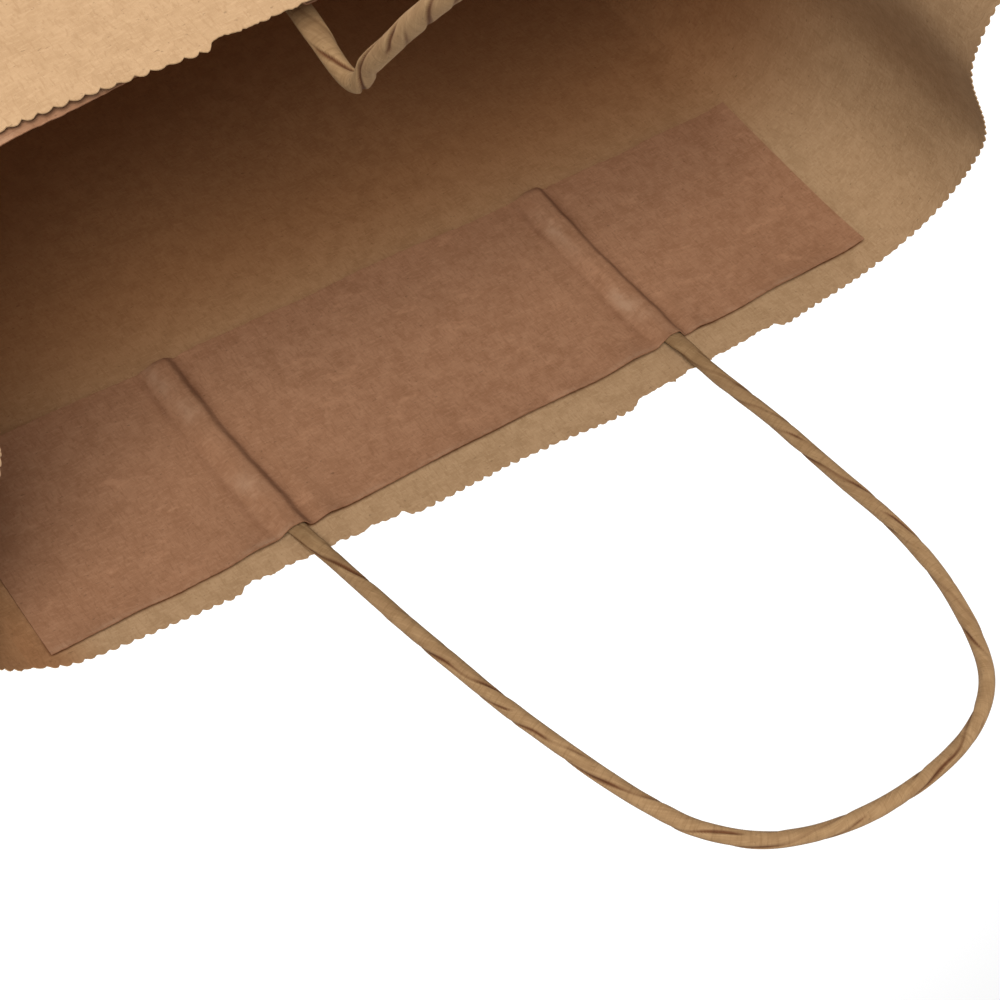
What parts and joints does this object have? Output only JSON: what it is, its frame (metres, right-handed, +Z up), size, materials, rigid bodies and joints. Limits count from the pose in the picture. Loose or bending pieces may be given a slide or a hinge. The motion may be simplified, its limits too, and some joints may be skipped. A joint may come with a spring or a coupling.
{
  "type": "gift bag",
  "caption": "Open kraft paper carrier bag with gusseted sides, glued handle patches and twisted paper rope handles.",
  "frame": {"origin": "underside of the base, at the middle of the bag's footprint", "axes": "+Z up out of the mouth, +X along the long walls, +Y from the front wall to the back wall"},
  "size_m": [0.2032, 0.2048, 0.3547],
  "materials": {
    "kraft": "matt, uncoated, fine fibres",
    "patch": "matt, uncoated, reddish brown",
    "rope": "matt twisted paper"
  },
  "bodies": {
    "back_wall": {"back_panel": "kraft", "back_patch_backing": "patch", "back_patch_cover": "patch", "back_handle_leg_left": "rope", "back_handle_leg_right": "rope", "base_end_left": "kraft", "base_end_right": "kraft"},
    "front_wall": {"front_panel": "kraft", "seam_flap": "kraft", "front_patch_backing": "patch", "front_patch_cover": "patch", "front_handle_leg_left": "rope", "front_handle_leg_right": "rope"},
    "gusset_left_rear": {"gusset_left_rear": "kraft"},
    "gusset_left_front": {"gusset_left_front": "kraft"},
    "gusset_right_rear": {"gusset_right_rear": "kraft"},
    "gusset_right_front": {"gusset_right_front": "kraft"},
    "base_flap_rear": {"base_flap_rear": "kraft"},
    "base_flap_front": {"base_flap_front": "kraft"},
    "back_handle": {"back_handle_loop": "rope"},
    "front_handle": {"front_handle_loop": "rope"}
  },
  "joints": [
    {"name": "fold", "type": "hinge", "parent": "back_wall", "child": "gusset_left_rear", "pos_m": [-0.1015, 0.0618, 0.127], "axis": [0, 0, 1], "range_deg": [0, 80]},
    {"name": "left_middle_crease", "type": "hinge", "parent": "gusset_left_rear", "child": "gusset_left_front", "pos_m": [-0.1015, 0, 0.127], "axis": [0, 0, 1], "range_deg": [-160, 0]},
    {"name": "left_front_crease", "type": "hinge", "parent": "gusset_left_front", "child": "front_wall", "pos_m": [-0.1015, -0.0618, 0.127], "axis": [0, 0, 1], "range_deg": [0, 80]},
    {"name": "right_rear_crease", "type": "hinge", "parent": "back_wall", "child": "gusset_right_rear", "pos_m": [0.1015, 0.0618, 0.127], "axis": [0, 0, 1], "range_deg": [-80, 0]},
    {"name": "right_middle_crease", "type": "hinge", "parent": "gusset_right_rear", "child": "gusset_right_front", "pos_m": [0.1015, 0, 0.127], "axis": [0, 0, 1], "range_deg": [0, 160]},
    {"name": "base_rear_crease", "type": "hinge", "parent": "back_wall", "child": "base_flap_rear", "pos_m": [0, 0.0618, 0], "axis": [1, 0, 0], "range_deg": [-80, 0]},
    {"name": "base_front_crease", "type": "hinge", "parent": "front_wall", "child": "base_flap_front", "pos_m": [0, -0.0618, 0.0006], "axis": [1, 0, 0], "range_deg": [0, 80]},
    {"name": "back_handle_bend", "type": "hinge", "parent": "back_wall", "child": "back_handle", "pos_m": [0, 0.06135, 0.2575], "axis": [-1, 0, 0], "range_deg": [0, 110]},
    {"name": "front_handle_bend", "type": "hinge", "parent": "front_wall", "child": "front_handle", "pos_m": [0, -0.06135, 0.2575], "axis": [1, 0, 0], "range_deg": [-55, 55]}
  ],
  "couplings": [
    {"joint": "left_middle_crease", "follows": "fold", "ratio": -2},
    {"joint": "left_front_crease", "follows": "fold", "ratio": 1},
    {"joint": "right_rear_crease", "follows": "fold", "ratio": -1},
    {"joint": "right_middle_crease", "follows": "fold", "ratio": 2},
    {"joint": "base_rear_crease", "follows": "fold", "ratio": -1},
    {"joint": "base_front_crease", "follows": "fold", "ratio": 1}
  ]
}
